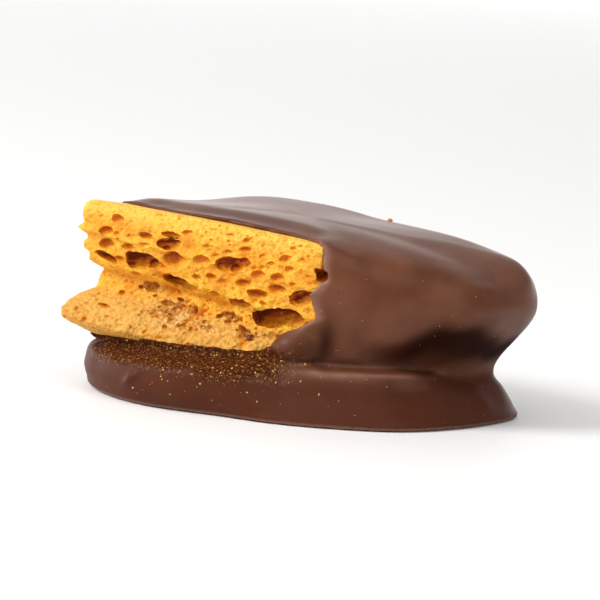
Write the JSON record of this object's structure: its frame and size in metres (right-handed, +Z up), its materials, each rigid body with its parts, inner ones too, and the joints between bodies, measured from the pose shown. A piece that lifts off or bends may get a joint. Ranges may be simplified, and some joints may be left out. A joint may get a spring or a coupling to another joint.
{
  "type": "chocolate-covered honeycomb",
  "caption": "Broken lump of aerated honeycomb toffee in a smooth chocolate coat with a thick flat foot; a bare front corner shows open bubbles.",
  "frame": {"origin": "centre of the bounding box in plan, on the flat underside of the chocolate foot", "axes": "+X towards the fully covered end, -Y towards the front with the bare break, +Z up"},
  "size_m": [0.0684, 0.051, 0.0281],
  "materials": {
    "toffee": "rough broken toffee full of bubbles",
    "chocolate": "satin set milk chocolate"
  },
  "bodies": {
    "root": {"honeycomb_core": "toffee", "chocolate_coat": "chocolate"}
  },
  "joints": []
}
